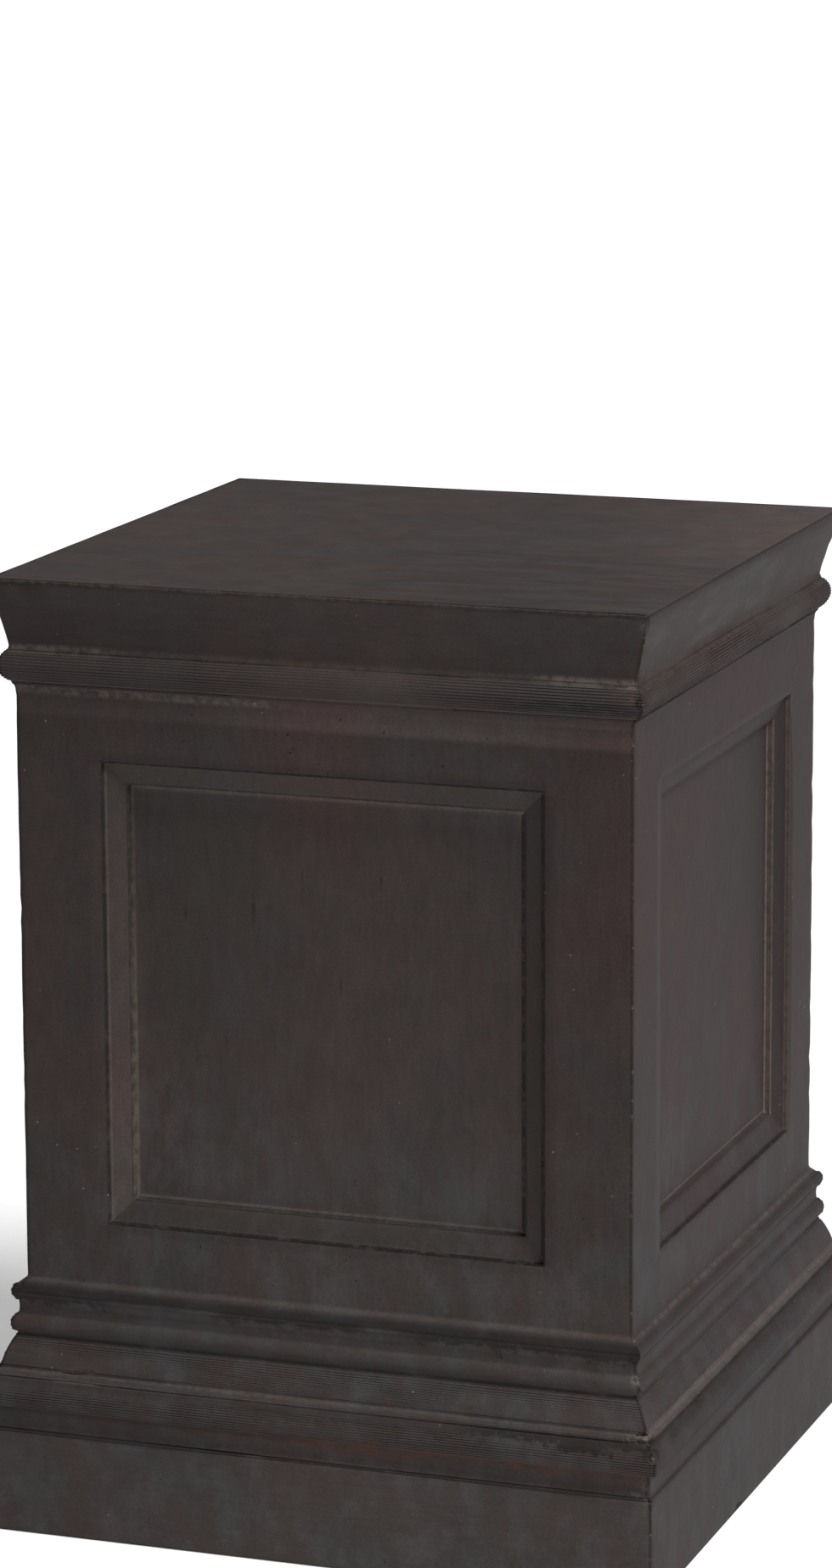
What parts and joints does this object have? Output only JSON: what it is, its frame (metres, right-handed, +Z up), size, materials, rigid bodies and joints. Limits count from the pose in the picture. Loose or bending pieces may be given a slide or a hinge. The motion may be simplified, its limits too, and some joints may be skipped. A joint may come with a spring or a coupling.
{
  "type": "garden plinth",
  "caption": "Square moulded plinth with a stepped, beaded base, a die with a sunk panel on every face, and a projecting cap that carries a garden ornament.",
  "frame": {"origin": "middle of the underside, on the ground", "axes": "+Z up; -Y out of the front face, +X out of the right-hand face; all faces are alike"},
  "size_m": [0.632, 0.632, 0.87],
  "materials": {
    "painted_stone": "matt dark brown-black paint, mottled, with rubbed arrises"
  },
  "bodies": {
    "root": {"plinth": "painted_stone"}
  },
  "joints": []
}
